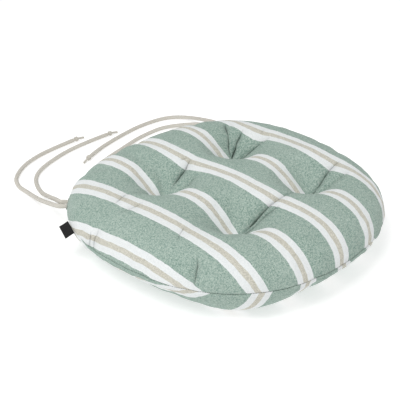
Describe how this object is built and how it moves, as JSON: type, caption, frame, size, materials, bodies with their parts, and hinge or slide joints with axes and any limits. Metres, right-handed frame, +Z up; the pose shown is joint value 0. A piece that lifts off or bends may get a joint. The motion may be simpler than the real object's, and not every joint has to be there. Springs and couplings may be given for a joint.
{
  "type": "chair seat pad",
  "caption": "Round tufted chair seat pad with striped sewn covers over a fibre filling, cord ties at the back corners and a label in the side seam.",
  "frame": {"origin": "middle of the flat underside, on the surface that the pad lies on", "axes": "+Z up through the pad's thickness, -Y towards the front of the seat, +Y towards the back, where the ties leave, and the stripes run along Y"},
  "size_m": [0.3983, 0.5593, 0.08],
  "materials": {
    "striped_fabric": "plain woven cotton canvas, melange green, white and beige stripes",
    "underside_fabric": "the same striped canvas on the underside",
    "polyester_fibre": "lofty white fibre",
    "sewing_thread": "matt spun thread",
    "tie_cord": "matt twisted cotton cord",
    "woven_label": "plain black damask tape"
  },
  "bodies": {
    "pad": {"top_cover": "striped_fabric", "bottom_cover": "underside_fabric", "fibre_filling": "polyester_fibre", "edge_seam_thread": "sewing_thread", "tuft_stitch_front_left": "sewing_thread", "tuft_stitch_front_right": "sewing_thread", "tuft_stitch_rear_left": "sewing_thread", "tuft_stitch_rear_right": "sewing_thread", "tie_cord_left_outer": "tie_cord", "tie_cord_left_inner": "tie_cord", "tie_cord_right_outer": "tie_cord", "tie_cord_right_inner": "tie_cord", "tie_knot_left_outer": "tie_cord", "tie_knot_left_inner": "tie_cord", "tie_knot_right_outer": "tie_cord", "tie_knot_right_inner": "tie_cord", "tie_tail_left_outer": "tie_cord", "tie_tail_left_inner": "tie_cord", "tie_tail_right_outer": "tie_cord", "tie_tail_right_inner": "tie_cord", "tie_bartack_left": "sewing_thread", "tie_bartack_right": "sewing_thread"},
    "label": {"side_label": "woven_label"}
  },
  "joints": [
    {"name": "label_flap", "type": "hinge", "parent": "pad", "child": "label", "pos_m": [-0.18373, 0.09431, 0.045], "axis": [0.3526, 0.9358, 0], "range_deg": [-40, 60], "stiffness_Nm_per_rad": 0.0001}
  ]
}
